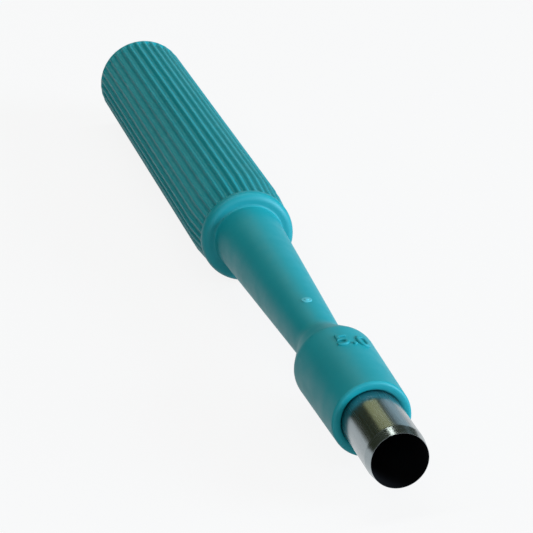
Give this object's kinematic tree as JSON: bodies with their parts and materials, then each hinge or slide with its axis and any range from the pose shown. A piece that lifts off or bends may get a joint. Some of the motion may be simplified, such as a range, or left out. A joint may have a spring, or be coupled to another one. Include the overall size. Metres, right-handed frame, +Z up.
{
  "type": "biopsy punch",
  "caption": "Skin biopsy punch: a moulded plastic handle with a ribbed round grip, a tapered neck and a round head that holds a tubular steel blade with a bevelled cutting edge.",
  "frame": {"origin": "on the table, below the middle of the punch's length, as it lies on two neighbouring ribs of its grip", "axes": "+X runs along the punch from its rear end to its cutting edge, +Z is up"},
  "size_m": [0.103, 0.0098, 0.0099],
  "materials": {
    "handle_plastic": "teal moulded plastic with a soft sheen",
    "blade_steel": "drawn stainless steel tube with a ground bevel"
  },
  "bodies": {
    "root": {"handle": "handle_plastic", "blade": "blade_steel"}
  },
  "joints": []
}
